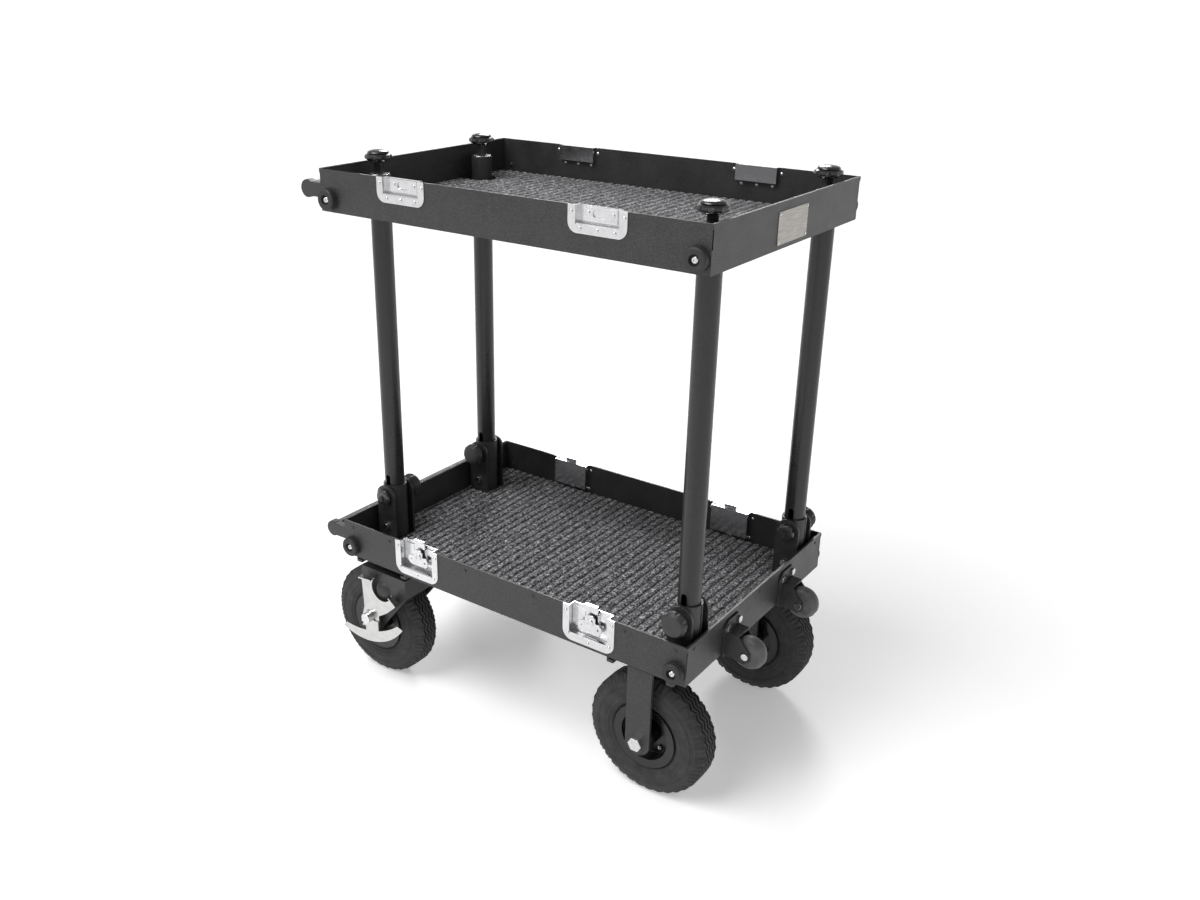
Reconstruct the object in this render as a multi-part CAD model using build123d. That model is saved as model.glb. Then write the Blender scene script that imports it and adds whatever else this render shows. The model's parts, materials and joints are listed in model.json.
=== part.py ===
from build123d import *
import os
from math import cos, radians, sin, sqrt

# Knock-down two-deck equipment cart. X runs along the length, Y across the width,
# +Z is up, and the origin is on the floor under the middle of the cart.

# ---- overall sizes (mm) ----
LENGTH = 800.0
WIDTH = 530.0
TRAY_H = 76.0            # height of each tray's walls
DECK_RISE = 700.0        # from the lower tray to the upper tray
SHEET = 3.0              # tray wall and floor thickness
HEM_H = 8.0              # folded band along the rim of the end walls
HEM_T = 1.2

# ---- posts and their sockets ----
POST_D = 40.0
POST_WALL = 2.5
POST_INSET = 34.0        # post axis in from the tray's end
POST_SIDE = 60.0         # right posts' axis in from the tray's long wall
POST_STEP = 56.0         # the left pair is closer together, to fold between the right pair
BRACKET_BASE = 5.0       # foot plate that the post and its collar stand on
CLAMP_Z = 104.0          # clamp bolt above the tray's underside
CLAMP_R = 5.0
PIVOT_Z = 36.0           # pivot bolt above the tray's underside
PIVOT_R = 4.0
SLOT_TOP = 149.0         # top of the post's slot above the tray's underside
COLLAR_T = 3.5
COLLAR_GAP = 0.4         # radial gap between post and collar
COLLAR_TOP = 127.0
COLLAR_SLIT = 3.0
EAR_GAP = 0.4            # from the collar to each ear
EAR_T = 5.0
EAR_EXTRA = 4.0          # ears stand out past the post on each side
CLAMP_KNOB_D = 48.0
CLAMP_KNOB_H = 24.0
STAR_D = 36.0
STAR_H = 12.0
INSERT_H = 45.0          # threaded insert at the top of each post

# ---- cups and knobs on the upper tray ----
CUP_D = 41.5
CUP_H = 51.0
CUP_WALL = 3.0
CUP_FLANGE_D = 58.0
CUP_FLANGE_T = 4.0
STUD_R = 5.0
STUD_GRIP = 24.0         # how far the knob's stud reaches into the post
TOP_KNOB_D = 52.0
TOP_KNOB_H = 16.0
TOP_KNOB_NECK = 22.0
RUN = 0.06               # radial clearance of a turning shaft

# ---- wheels and casters ----
TYRE_D = 240.0
TYRE_W = 68.0
RIM_D = 126.0
BEAD_D = 100.0
HUB_D = 44.0
AXLE_R = 8.0
WHEEL_INSET = 93.0       # middle of each caster plate in from the tray's end
WHEEL_SIDE = 60.0        # wheels' middle in from the tray's long wall
TYRE_GAP = 10.0          # from the tyre up to the fork's crown
TRAIL = 45.0             # swivel axis to wheel axis
LEG_GAP = 94.0           # between the fork legs
LEG_T = 6.0
LEG_W = 50.0
FORK_LEAD = 62.0         # swivel axis to the fork's leading edge
FORK_BACK = 58.0         # swivel axis to the crown's trailing edge
CASTER_PLATE = 6.0
PLATE_L = 126.0          # across the rails
PLATE_W = 100.0
RAIL_H = 13.0
RAIL_T = 4.0
RAIL_LIP = 10.0
BEARING_H = 14.0
CROWN_T = 8.0
SKIRT_H = 43.0
KINGPIN_R = 8.0
AXLE_HEAD = 9.0          # height of the axle bolts' hexagon heads
BRAKE_BOSS_R = 7.0
BRAKE_STANDOFF = 10.0    # from the fork's outer leg to the brake lever
BRAKE_T = 3.0
BRAKE_LIFT = 13.0        # how far the lever's foot tabs stand out
BRAKE_BOLT_R = 5.0
BRAKE_HEAD_R = 11.0
BRAKE_HEAD_H = 9.0
BRAKE_BACK = 31.0        # brake pivot behind the swivel's axis
BRAKE_RISE = 32.0        # brake pivot above the wheel's axle
BRAKE_BULGE = 8.0        # how far the pressed bulge stands off the outer leg

# ---- tilt rollers on the right end ----
TILT_Y = 108.0
TILT_OUT = 40.0          # roller axis from the end wall
TILT_Z = 5.0             # roller axis above the tray's underside
TILT_D = 62.0
TILT_W = 28.0
TILT_AXLE_R = 4.0
CHEEK_T = 3.5
TILT_BOLT_R = 4.0
TILT_BOLT_Z = 50.0       # wall bolts above the tray's underside
TILT_BOLT_GAP = 41.0

# ---- latches, catches and trim ----
LATCH_INSET = 197.0      # latch middle in from the tray's end
DISH_W = 109.0
LATCH_DISH_H = 70.0
CATCH_DISH_H = 43.0
PAN_SIDE = 12.5          # from the flange's side edge in to the pan
PAN_LOW = 14.0           # from the flange's lower edge up to the pan
PAN_DEPTH = 16.0         # latch pans, from the wall's outer face
CATCH_DEPTH = 11.0       # catch pans
DISH_T = 1.5
FLANGE_SIDE = 12.0
LATCH_HUB_Z = -25.0      # turn pin below the rim
LATCH_PIN_R = 3.5
LATCH_BUTTERFLY_Y = 3.5
LATCH_HOOK_STROKE = 8.0
LATCH_HOOK_UP = 9.0      # hook above the rim
LATCH_TONGUE_W = 26.0
BUMPER_INSET = 21.5
BUMPER_Z = 23.0
BUMPER_D = 39.0
BUMPER_T = 13.0
BUMPER_SCREW_R = 3.0
BUMPER_RECESS_R = 9.0
BUMPER_RECESS = 6.0
HANDLE_OUT = 55.0
HANDLE_Z = 32.0
HANDLE_SIDE = 25.0       # lugs' middle in from the tray's long wall
HANDLE_LUG_R = 16.5
HANDLE_LUG_T = 16.0
HANDLE_BAR_R = 12.0
CARPET_T = 8.0
CARPET_GAP = 1.0
FOOT_MARGIN = 2.0        # carpet cut-out round a bracket
PLATE_LABEL_L = 107.0
PLATE_LABEL_H = 53.0
PLATE_LABEL_Z = 7.5
RIVET_R = 2.0
RIVET_HEAD_R = 3.6
RIVET_HEAD_H = 1.6
RIVET_GAP = 0.1
WALL_RIVET_DROP = 12.5   # wall rivets below the rim
WALL_RIVET_INSETS = (23.0, 124.0, 320.0)     # along a long wall, in from the tray's end

# ---- positions that follow from the sizes above ----
LOWER_Z = TYRE_D + TYRE_GAP + CROWN_T + BEARING_H + CASTER_PLATE     # underside of the lower tray
UPPER_Z = LOWER_Z + DECK_RISE
POST_X = LENGTH / 2 - POST_INSET
RIGHT_POST_Y = WIDTH / 2 - POST_SIDE
LEFT_POST_Y = RIGHT_POST_Y - POST_STEP
WHEEL_X = LENGTH / 2 - WHEEL_INSET
WHEEL_Y = WIDTH / 2 - WHEEL_SIDE
LATCH_X = LENGTH / 2 - LATCH_INSET
BUMPER_X = LENGTH / 2 - BUMPER_INSET
HANDLE_Y = WIDTH / 2 - HANDLE_SIDE
PAN_W = DISH_W - 2 * PAN_SIDE
EAR_IN = POST_D / 2 + COLLAR_GAP + COLLAR_T + EAR_GAP     # post axis to the ears' inner faces
EAR_OUT = EAR_IN + EAR_T
EAR_W = POST_D + 2 * EAR_EXTRA
LOW = (Align.MIN, Align.MIN, Align.MIN)
POSTS = [(-POST_X, -LEFT_POST_Y), (-POST_X, LEFT_POST_Y), (POST_X, -RIGHT_POST_Y), (POST_X, RIGHT_POST_Y)]
POST_NAMES = ["front_left", "rear_left", "front_right", "rear_right"]
KNOB_SIDE = [1, -1, -1, 1]          # which way each clamp knob faces along Y
LATCHES = [(-LATCH_X, -1), (LATCH_X, -1), (-LATCH_X, 1), (LATCH_X, 1)]
LATCH_NAMES = ["front_left", "front_right", "rear_left", "rear_right"]


# ---- small building blocks ----
def block(xs, ys, zs):
    """A box between three pairs of limits."""
    size = [hi - lo for lo, hi in (xs, ys, zs)]
    return Pos(xs[0], ys[0], zs[0]) * Box(*size, align=LOW)


def rod_z(radius, x, y, zs):
    return Pos(x, y, zs[0]) * Cylinder(radius, zs[1] - zs[0], align=(Align.CENTER, Align.CENTER, Align.MIN))


def rod_y(radius, x, z, ys):
    return Pos(x, (ys[0] + ys[1]) / 2, z) * Rot(90, 0, 0) * Cylinder(radius, ys[1] - ys[0])


def rod_x(radius, y, z, xs):
    return Pos((xs[0] + xs[1]) / 2, y, z) * Rot(0, 90, 0) * Cylinder(radius, xs[1] - xs[0])


def slab_xz(sketch, ys):
    """A sketch drawn in X and Z, given thickness between two Y values."""
    plane = Plane(origin=(0, max(ys), 0), x_dir=(1, 0, 0), z_dir=(0, -1, 0))
    return extrude(plane * sketch, abs(ys[1] - ys[0]))


def spin_z(points):
    """A solid of revolution about Z from (radius, height) corner points."""
    outline = Polyline(*[(r, 0, z) for r, z in points], close=True)
    return revolve(make_face(outline), Axis.Z)


def spin_y(points):
    """A solid of revolution about Y from (radius, y) corner points."""
    outline = Polyline(*[(r, y, 0) for r, y in points], close=True)
    return revolve(make_face(outline), Axis.Y)


def mirror_y(shape):
    return mirror(shape, Plane.XZ)


def hexagon_y(across_flats, x, z, ys):
    return slab_xz(Pos(x, z) * RegularPolygon(across_flats / sqrt(3), 6), ys)


def group(solids):
    """Several separate solids kept together as one node."""
    flat = []
    for item in solids:
        flat.extend(item.solids())
    return Compound(children=flat)


def save(name, shape):
    export_step(shape, f"parts/{name}.step")


# ---- rivets ----
def rivet(grip):
    """A domed rivet along +Z: its head above Z = 0 and its shank below."""
    head = rod_z(RIVET_HEAD_R, 0, 0, (0, RIVET_HEAD_H))
    head = chamfer(head.edges().sort_by(Axis.Z)[-1], RIVET_HEAD_H * 0.55)
    return head + rod_z(RIVET_R, 0, 0, (-grip, 0.2))


TURNS = {"-y": Rot(90, 0, 0), "+y": Rot(-90, 0, 0), "+x": Rot(0, 90, 0)}     # +Z turned to face outwards


def dish_rivet_spots(height):
    """Rivet places on a dish flange: (x from its middle, distance below the rim)."""
    side = DISH_W / 2 - FLANGE_SIDE / 2
    if height == CATCH_DISH_H:
        low, third = height - 7.5, 0.294 * DISH_W
        return [(-side, 11), (side, 11), (-third, low), (0, low), (third, low)]
    corner = PAN_W / 2 + RIVET_R
    return [(-side, 12), (side, 12), (-corner, height - 13), (corner, height - 13), (0, height - 5.5)]


# ---- trays ----
def side_wall(base, sign, dish_height):
    """The front or back wall of a tray, notched at the rim for two dishes."""
    inner = sign * (WIDTH / 2 - SHEET)
    outer = sign * WIDTH / 2
    ys = sorted((inner, outer))
    wall = block((-LENGTH / 2, LENGTH / 2), ys, (base, base + TRAY_H))
    rim = base + TRAY_H
    for x in (-LATCH_X, LATCH_X):
        half = PAN_W / 2 + RIVET_GAP
        floor = rim - dish_height + PAN_LOW - RIVET_GAP
        wall -= block((x - half, x + half), (ys[0] - 1, ys[1] + 1), (floor, rim + 1))
        for dx, drop in dish_rivet_spots(dish_height):
            wall -= rod_y(RIVET_R + RIVET_GAP, x + dx, rim - drop, (ys[0] - 1, ys[1] + 1))
    for x in (-BUMPER_X, BUMPER_X):
        wall -= rod_y(BUMPER_SCREW_R + RIVET_GAP, x, base + BUMPER_Z, (ys[0] - 1, ys[1] + 1))
    return wall


def end_wall(base, sign):
    """An end wall with a folded band along its rim."""
    outer = sign * LENGTH / 2
    xs = sorted((outer - sign * SHEET, outer))
    ys = (-WIDTH / 2 + SHEET, WIDTH / 2 - SHEET)
    wall = block(xs, ys, (base, base + TRAY_H))
    band = block(sorted((outer, outer + sign * HEM_T)), (-WIDTH / 2, WIDTH / 2),
                 (base + TRAY_H - HEM_H, base + TRAY_H))
    return wall + band


def tray_floor(base):
    return block((-LENGTH / 2 + SHEET, LENGTH / 2 - SHEET), (-WIDTH / 2 + SHEET, WIDTH / 2 - SHEET),
                 (base, base + SHEET))


def carpet(base, cuts):
    """A ribbed mat on a tray floor, cut out round what stands on the floor."""
    gap = SHEET + CARPET_GAP
    mat = block((-LENGTH / 2 + gap, LENGTH / 2 - gap), (-WIDTH / 2 + gap, WIDTH / 2 - gap),
                (base + SHEET, base + SHEET + CARPET_T))
    for cut in cuts:
        mat -= cut
    return mat


def cup_notch(x, y):
    """Room in the upper carpet for a cup's flange, open to the nearer end wall."""
    radius = CUP_FLANGE_D / 2 + CARPET_GAP
    end = LENGTH / 2 if x > 0 else -LENGTH / 2
    notch = rod_z(radius, x, y, (UPPER_Z, UPPER_Z + TRAY_H))
    return notch + block(sorted((x, end)), (y - radius, y + radius), (UPPER_Z, UPPER_Z + TRAY_H))


def lower_tray():
    """Floor and four walls of the lower tray."""
    floor = tray_floor(LOWER_Z)
    walls = [side_wall(LOWER_Z, side, LATCH_DISH_H) for side in (-1, 1)]
    ends = [end_wall(LOWER_Z, side) for side in (-1, 1)]
    for x, y, z, side in lower_wall_rivets():
        hole = Pos(x, y, z) * TURNS[side] * Cylinder(RIVET_R + RIVET_GAP, 4 * SHEET)
        walls = [wall - hole for wall in walls] if side in ("-y", "+y") else walls
        ends = [wall - hole for wall in ends] if side == "+x" else ends
    for y in tilt_bolt_ys():
        ends[1] -= rod_x(TILT_BOLT_R + RIVET_GAP, y, LOWER_Z + TILT_BOLT_Z, (LENGTH / 2 - 9, LENGTH / 2 + 9))
    return group([floor] + walls + ends)


def upper_tray():
    """Floor and four walls of the upper tray, with a stud hole over each post."""
    floor = tray_floor(UPPER_Z)
    for x, y in POSTS:
        floor -= rod_z(STUD_R + 1.5, x, y, (UPPER_Z - 1, UPPER_Z + SHEET + 1))
    walls = [side_wall(UPPER_Z, side, CATCH_DISH_H) for side in (-1, 1)]
    ends = [end_wall(UPPER_Z, side) for side in (-1, 1)]
    for y, z in label_rivet_spots():
        ends[1] -= rod_x(RIVET_R / 2 + RIVET_GAP, y, z, (LENGTH / 2 - 9, LENGTH / 2 + 9))
    return group([floor] + walls + ends)


def lower_wall_rivets():
    """Black rivets near the rim of the lower tray: (x, y, z, side)."""
    z = LOWER_Z + TRAY_H - WALL_RIVET_DROP
    spots = []
    for inset in WALL_RIVET_INSETS:
        for end in (-1, 1):
            x = end * (LENGTH / 2 - inset)
            spots.append((x, -WIDTH / 2, z, "-y"))
            spots.append((x, WIDTH / 2, z, "+y"))
    for y in (-HANDLE_Y, 0.0, HANDLE_Y):
        spots.append((LENGTH / 2, y, z, "+x"))
    return spots


def label_rivet_spots():
    """Rivet places of the nameplate: (y, z)."""
    z0 = UPPER_Z + PLATE_LABEL_Z
    inset = 4.0
    ys = (-PLATE_LABEL_L / 2 + inset, PLATE_LABEL_L / 2 - inset)
    return [(y, z) for y in ys for z in (z0 + inset, z0 + PLATE_LABEL_H - inset)]


# ---- bumpers and handles ----
def bumper():
    """A rubber disc along -Y, standing on Y = 0, with a recess for its screw."""
    r, t, soft = BUMPER_D / 2, BUMPER_T, 2.5
    bore = BUMPER_SCREW_R + RIVET_GAP
    points = [(bore, 0), (r, 0), (r, -t + soft), (r - soft, -t), (BUMPER_RECESS_R, -t),
              (BUMPER_RECESS_R, -t + BUMPER_RECESS), (bore, -t + BUMPER_RECESS)]
    return spin_y(points)


def bumper_screw():
    seat = -BUMPER_T + BUMPER_RECESS
    points = [(0, SHEET + 3), (BUMPER_SCREW_R, SHEET + 3), (BUMPER_SCREW_R, seat), (6.5, seat),
              (6.5, seat - 1.6), (4.5, seat - 3.4), (2.2, seat - 3.4), (2.2, seat - 1.8), (0, seat - 1.8)]
    return spin_y(points)


def at_bumpers(piece, base):
    """The same piece at the four bumper places of a tray."""
    front = [Pos(x, -WIDTH / 2, base + BUMPER_Z) * piece for x in (-BUMPER_X, BUMPER_X)]
    return front + [mirror_y(item) for item in front]


def handle(base):
    """A grab bar across the left end, held by two rounded lugs."""
    x, z = -LENGTH / 2 - HANDLE_OUT, base + HANDLE_Z
    wall = -LENGTH / 2
    shape = rod_y(HANDLE_BAR_R, x, z, (-HANDLE_Y, HANDLE_Y))
    for side in (-1, 1):
        ys = (side * HANDLE_Y - HANDLE_LUG_T / 2, side * HANDLE_Y + HANDLE_LUG_T / 2)
        shape += rod_y(HANDLE_LUG_R, x, z, ys)
        arm = 0.8 * HANDLE_LUG_R
        shape += block((x, wall), ys, (z - arm, z + arm))
    return shape


# ---- latch and catch dishes ----
def dish(height, depth):
    """A pressed dish on the front wall: a flange outside and an open-topped pan inside.

    Its rim is at Z = 0 and the wall's outer face is Y = 0, and it is centred on X = 0.
    """
    half, low = DISH_W / 2, -height
    corner = min(20.0, 0.4 * height)
    outline = Pos(0, low / 2) * Rectangle(DISH_W, height)
    outline = fillet(outline.vertices().filter_by(lambda v: v.Y < low / 2), corner)
    pan_low = low + PAN_LOW
    mouth = Pos(0, pan_low / 2 + 1) * Rectangle(PAN_W - 2 * DISH_T, -pan_low + 2)
    flange = slab_xz(outline - mouth, (-DISH_T, 0))
    for dx, drop in dish_rivet_spots(height):
        flange -= rod_y(RIVET_R + RIVET_GAP, dx, -drop, (-DISH_T - 1, 1))
    outer = block((-PAN_W / 2, PAN_W / 2), (-0.5, depth), (pan_low, 0))
    inner = block((-PAN_W / 2 + DISH_T, PAN_W / 2 - DISH_T), (-2, depth - DISH_T), (pan_low + DISH_T, 1))
    return flange + (outer - inner)


def dish_rivets(height):
    return [Pos(dx, -DISH_T, -drop) * Rot(90, 0, 0) * rivet(DISH_T + SHEET)
            for dx, drop in dish_rivet_spots(height)]


def at_latches(piece, base):
    """The same piece at the four latch places of a tray's long walls."""
    placed = []
    for x, side in LATCHES:
        shape = Pos(x, -WIDTH / 2, base + TRAY_H) * piece
        placed.append(shape if side < 0 else mirror_y(shape))
    return placed


def latch_base():
    """Fixed base plate in the dish, with the turn pin and two guides for the tongue."""
    back = PAN_DEPTH - DISH_T
    plate = block((-36, 36), (back - 2, back), (-51, -6))
    pin = rod_y(LATCH_PIN_R, 0, LATCH_HUB_Z, (LATCH_BUTTERFLY_Y - 1.0, back))
    guide = LATCH_TONGUE_W / 2 + 1.6
    rails = [block((side * guide - 1.2, side * guide + 1.2), (back - 5, back - 1.9), (-50, -8))
             for side in (-1, 1)]
    return plate + pin + rails[0] + rails[1]


def latch_handle():
    """The folding butterfly grip, which turns on the pin and stays inside the dish."""
    y0 = LATCH_BUTTERFLY_Y
    wing = Pos(0, -9) * RectangleRounded(50, 20, 9)
    neck = Pos(0, 4) * RectangleRounded(22, 22, 8)
    shape = wing + neck + Circle(11)
    shape -= Circle(LATCH_PIN_R + RUN)
    for side in (-1, 1):
        shape -= Pos(side * 17, -9) * Circle(2.2)
    plate = slab_xz(Pos(0, LATCH_HUB_Z) * shape, (y0, y0 + 2.4))
    boss = slab_xz(Pos(0, LATCH_HUB_Z) * (Circle(7.5) - Circle(LATCH_PIN_R + RUN)), (y0 - 1.6, y0 + 0.5))
    return plate + boss


def latch_hook():
    """The tongue that slides up out of the dish and hooks a catch on the other tray."""
    y1 = PAN_DEPTH - DISH_T - 2.4
    half, foot = LATCH_TONGUE_W / 2, -51.0
    slot = Pos(0, LATCH_HUB_Z - LATCH_HOOK_STROKE / 2) * SlotCenterToCenter(
        LATCH_HOOK_STROKE + 2, 2 * (LATCH_PIN_R + 0.3), rotation=90)
    tongue = Pos(0, (foot + LATCH_HOOK_UP) / 2) * Rectangle(LATCH_TONGUE_W, LATCH_HOOK_UP - foot) - slot
    plate = slab_xz(tongue, (y1 - 2.4, y1))
    lip = block((-half, half), (y1 - 7.5, y1), (LATCH_HOOK_UP - 2.4, LATCH_HOOK_UP))
    return plate + lip


def catch_plate():
    """The slotted keeper in an upper dish, with its two screws."""
    back = CATCH_DEPTH - DISH_T
    plate = block((-31, 31), (back - 2, back), (-24, -2))
    slot = slab_xz(Pos(0, -12) * SlotOverall(28, 13), (back - 3, back + 1))
    plate -= slot
    for side in (-1, 1):
        plate += rod_y(4.0, side * 23, -12, (back - 3.6, back - 1.5))
    return plate


# ---- posts and brackets ----
def post(x, y):
    """A tube with a slot for the clamp bolt up from its foot and an insert in its top."""
    foot = LOWER_Z + SHEET + BRACKET_BASE
    tube = rod_z(POST_D / 2, x, y, (foot, UPPER_Z))
    tube -= rod_z(POST_D / 2 - POST_WALL, x, y, (foot - 1, UPPER_Z - INSERT_H))
    tube -= rod_z(STUD_R + RUN, x, y, (UPPER_Z - INSERT_H - 1, UPPER_Z + 1))
    half = CLAMP_R + 0.5
    tube -= block((x - half, x + half), (y - POST_D, y + POST_D), (foot - 1, LOWER_Z + SLOT_TOP - half))
    tube -= rod_y(half, x, LOWER_Z + SLOT_TOP - half, (y - POST_D, y + POST_D))
    return tube


def collar(x, y):
    """The split sleeve round a post's foot, open towards the nearer end of the tray."""
    inner = POST_D / 2 + COLLAR_GAP
    zs = (LOWER_Z + SHEET + BRACKET_BASE, LOWER_Z + COLLAR_TOP)
    sleeve = rod_z(inner + COLLAR_T, x, y, zs) - rod_z(inner, x, y, (zs[0] - 1, zs[1] + 1))
    out = 1 if x > 0 else -1
    slit = block(sorted((x, x + out * POST_D)), (y - COLLAR_SLIT / 2, y + COLLAR_SLIT / 2),
                 (zs[0] - 1, zs[1] + 1))
    bolt = rod_y(CLAMP_R + RUN, x, LOWER_Z + CLAMP_Z, (y - POST_D, y + POST_D))
    return sleeve - slit - bolt


def bracket(x, y):
    """Two upright ears on a foot plate, one each side of the collar."""
    floor = LOWER_Z + SHEET
    ear = Pos(0, CLAMP_Z) * Circle(EAR_W / 2)
    ear += Pos(0, (CLAMP_Z + SHEET) / 2) * Rectangle(EAR_W, CLAMP_Z - SHEET)
    ear -= Pos(0, CLAMP_Z) * Circle(CLAMP_R + RUN)
    ear -= Pos(0, PIVOT_Z) * Circle(PIVOT_R + RUN)
    shape = block((x - EAR_W / 2, x + EAR_W / 2), (y - EAR_OUT, y + EAR_OUT), (floor, floor + BRACKET_BASE))
    for side in (-1, 1):
        ys = sorted((y + side * EAR_IN, y + side * EAR_OUT))
        shape += slab_xz(Pos(x, LOWER_Z) * ear, ys)
    return shape


def pivot_bolt(x, y):
    """The pivot at the foot of a bracket: two stub bolts with domed heads."""
    stubs = []
    for way in (-1, 1):
        outer = y + way * EAR_OUT
        stub = rod_y(PIVOT_R, x, LOWER_Z + PIVOT_Z, sorted((y + way * (EAR_IN + 0.3), outer + way * 0.5)))
        head = rod_y(7.0, x, LOWER_Z + PIVOT_Z, sorted((outer, outer + way * 5.0)))
        stubs.append(stub + head)
    return stubs


def lobed(diameter, height, lobes, scallop, dome):
    """A knob head standing on Z = 0, domed on top and scalloped round its edge."""
    r = diameter / 2
    head = spin_z([(0, 0), (0.62 * r, 0), (0.92 * r, 0.30 * height), (r, 0.48 * height),
                   (0.97 * r, 0.70 * height), (0.80 * r, height - 0.35 * dome), (0.45 * r, height),
                   (0, height)])
    for k in range(lobes):
        angle = radians((k + 0.5) * 360 / lobes)
        reach = r + 0.62 * scallop
        head -= rod_z(scallop, reach * cos(angle), reach * sin(angle), (-1, height + 1))
    return head


def clamp_knob(x, y, side):
    """Knob and bolt in one: the bolt runs through ears, collar and post."""
    z = LOWER_Z + CLAMP_Z
    head = lobed(CLAMP_KNOB_D, CLAMP_KNOB_H, 7, 6.0, 5.0)
    boss = rod_z(12, 0, 0, (-5, 0.5))
    turn = Rot(-90, 0, 0) if side > 0 else Rot(90, 0, 0)
    knob = Pos(x, y + side * (EAR_OUT + 5.3), z) * turn * (head + boss)
    far = y - side * (EAR_OUT + STAR_H + 4)
    shank = rod_y(CLAMP_R, x, z, sorted((far, y + side * (EAR_OUT + 5.8))))
    return knob + shank


def star_nut(x, y, side):
    """The six-lobed nut on the far end of a clamp bolt."""
    head = lobed(STAR_D, STAR_H, 6, 6.5, 3.0) - rod_z(CLAMP_R + RUN, 0, 0, (-1, STAR_H + 1))
    turn = Rot(90, 0, 0) if side > 0 else Rot(-90, 0, 0)
    return Pos(x, y - side * EAR_OUT, LOWER_Z + CLAMP_Z) * turn * head


def cup(x, y):
    """A flanged spacer cup on the upper tray's floor, over a post."""
    z0 = UPPER_Z + SHEET
    shape = rod_z(CUP_FLANGE_D / 2, x, y, (z0, z0 + CUP_FLANGE_T)) + rod_z(CUP_D / 2, x, y, (z0, z0 + CUP_H))
    shape -= rod_z(CUP_D / 2 - CUP_WALL, x, y, (z0 - 1, z0 + CUP_H - 4))
    return shape - rod_z(STUD_R + RUN, x, y, (z0, z0 + CUP_H + 1))


def cup_washer(x, y):
    z0 = UPPER_Z + SHEET + CUP_H
    return rod_z(CUP_D / 2 - 1, x, y, (z0, z0 + 2)) - rod_z(STUD_R + RUN, x, y, (z0 - 1, z0 + 3))


def top_knob(x, y):
    """A domed hand knob whose stud reaches down through the cup into the post."""
    z0 = UPPER_Z + SHEET + CUP_H + 2
    neck = rod_z(9.0, 0, 0, (0, TOP_KNOB_NECK + 1))
    head = Pos(0, 0, TOP_KNOB_NECK) * lobed(TOP_KNOB_D, TOP_KNOB_H, 8, 6.5, 5.0)
    stud = rod_z(STUD_R, 0, 0, (UPPER_Z - STUD_GRIP - z0, 1))
    return Pos(x, y, z0) * (neck + head + stud)


# ---- casters ----
def caster_rails():
    """Channels under the lower tray that the caster plates slide into."""
    rails = []
    for middle in (-WHEEL_X, WHEEL_X):
        for side in (-1, 1):
            web = middle + side * (PLATE_L / 2 + 0.5)
            ys = (-WIDTH / 2 + SHEET + 1, WIDTH / 2 - SHEET - 1)
            low, lip = LOWER_Z - RAIL_H, LOWER_Z - CASTER_PLATE - 0.2
            shape = block(sorted((web, web + side * RAIL_T)), ys, (low, LOWER_Z))
            shape += block(sorted((web + side * RAIL_T, web - side * RAIL_LIP)), ys, (low, lip))
            rails.append(shape)
    return group(rails)


def caster_plate(x, y):
    return block((x - PLATE_L / 2, x + PLATE_L / 2), (y - PLATE_W / 2, y + PLATE_W / 2),
                 (LOWER_Z - CASTER_PLATE, LOWER_Z))


def rigid_fork(x, y):
    """A fixed fork: a top plate with two straight legs."""
    axle_z = TYRE_D / 2
    shape = caster_plate(x, y)
    leg = Pos(0, (axle_z + LOWER_Z - CASTER_PLATE) / 2) * Rectangle(LEG_W, LOWER_Z - CASTER_PLATE - axle_z)
    leg += Pos(0, axle_z) * Circle(LEG_W / 2)
    leg -= Pos(0, axle_z) * Circle(AXLE_R + RUN)
    saddle = block((x - LEG_W / 2, x + LEG_W / 2), (y - LEG_GAP / 2 - LEG_T, y + LEG_GAP / 2 + LEG_T),
                   (LOWER_Z - CASTER_PLATE - 6, LOWER_Z - CASTER_PLATE))
    shape += saddle
    for side in (-1, 1):
        ys = sorted((y + side * LEG_GAP / 2, y + side * (LEG_GAP / 2 + LEG_T)))
        shape += slab_xz(Pos(x, 0) * leg, ys)
    return shape


def swivel_plate(x, y):
    """The top plate of a swivel caster with its bearing seat and kingpin."""
    under = LOWER_Z - CASTER_PLATE
    crown_top = under - BEARING_H
    seat = rod_z(34, x, y, (crown_top + 1.0, under + 0.5))
    pin = rod_z(KINGPIN_R, x, y, (crown_top - CROWN_T - 1.0, under))
    return caster_plate(x, y) + seat + pin


def swivel_fork(x, y):
    """A trailing fork: crown, two tapered legs, a skirt at the leading side and a bulge for the brake."""
    top = LOWER_Z - CASTER_PLATE - BEARING_H
    axle_x, axle_z = x - TRAIL, TYRE_D / 2
    lead, back = x + FORK_LEAD, x - FORK_BACK
    half = LEG_GAP / 2
    crown = block((back, lead), (y - half - LEG_T, y + half + LEG_T), (top - CROWN_T, top))
    crown += rod_z(30, x, y, (top - 1, top + 0.4))
    skirt = block((lead - LEG_T, lead), (y - half - LEG_T, y + half + LEG_T), (top - SKIRT_H, top))
    leg = make_face(Polyline((lead, top), (lead, top - SKIRT_H), (axle_x + 0.93 * LEG_W / 2, axle_z - 8),
                             (axle_x - LEG_W / 2, axle_z), (back, top - 30), (back, top), close=True))
    leg += Pos(axle_x, axle_z) * Circle(LEG_W / 2)
    leg -= Pos(axle_x, axle_z) * Circle(AXLE_R + RUN)
    shape = crown + skirt
    for side in (-1, 1):
        ys = sorted((y + side * half, y + side * (half + LEG_T)))
        shape += slab_xz(leg, ys)
    shape -= rod_z(KINGPIN_R + RUN, x, y, (top - CROWN_T - 2, top + 2))
    shape += rod_y(BRAKE_BOSS_R, *brake_pivot(x), (y - half - LEG_T - BRAKE_STANDOFF, y - half - 1))
    face = y - half - LEG_T
    bulge = Pos(x, face + 27 - BRAKE_BULGE, top - 42) * Sphere(27)
    bulge &= block((x - 40, x + 40), (face - 30, face + 1), (top - 80, top))
    return shape + bulge


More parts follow.
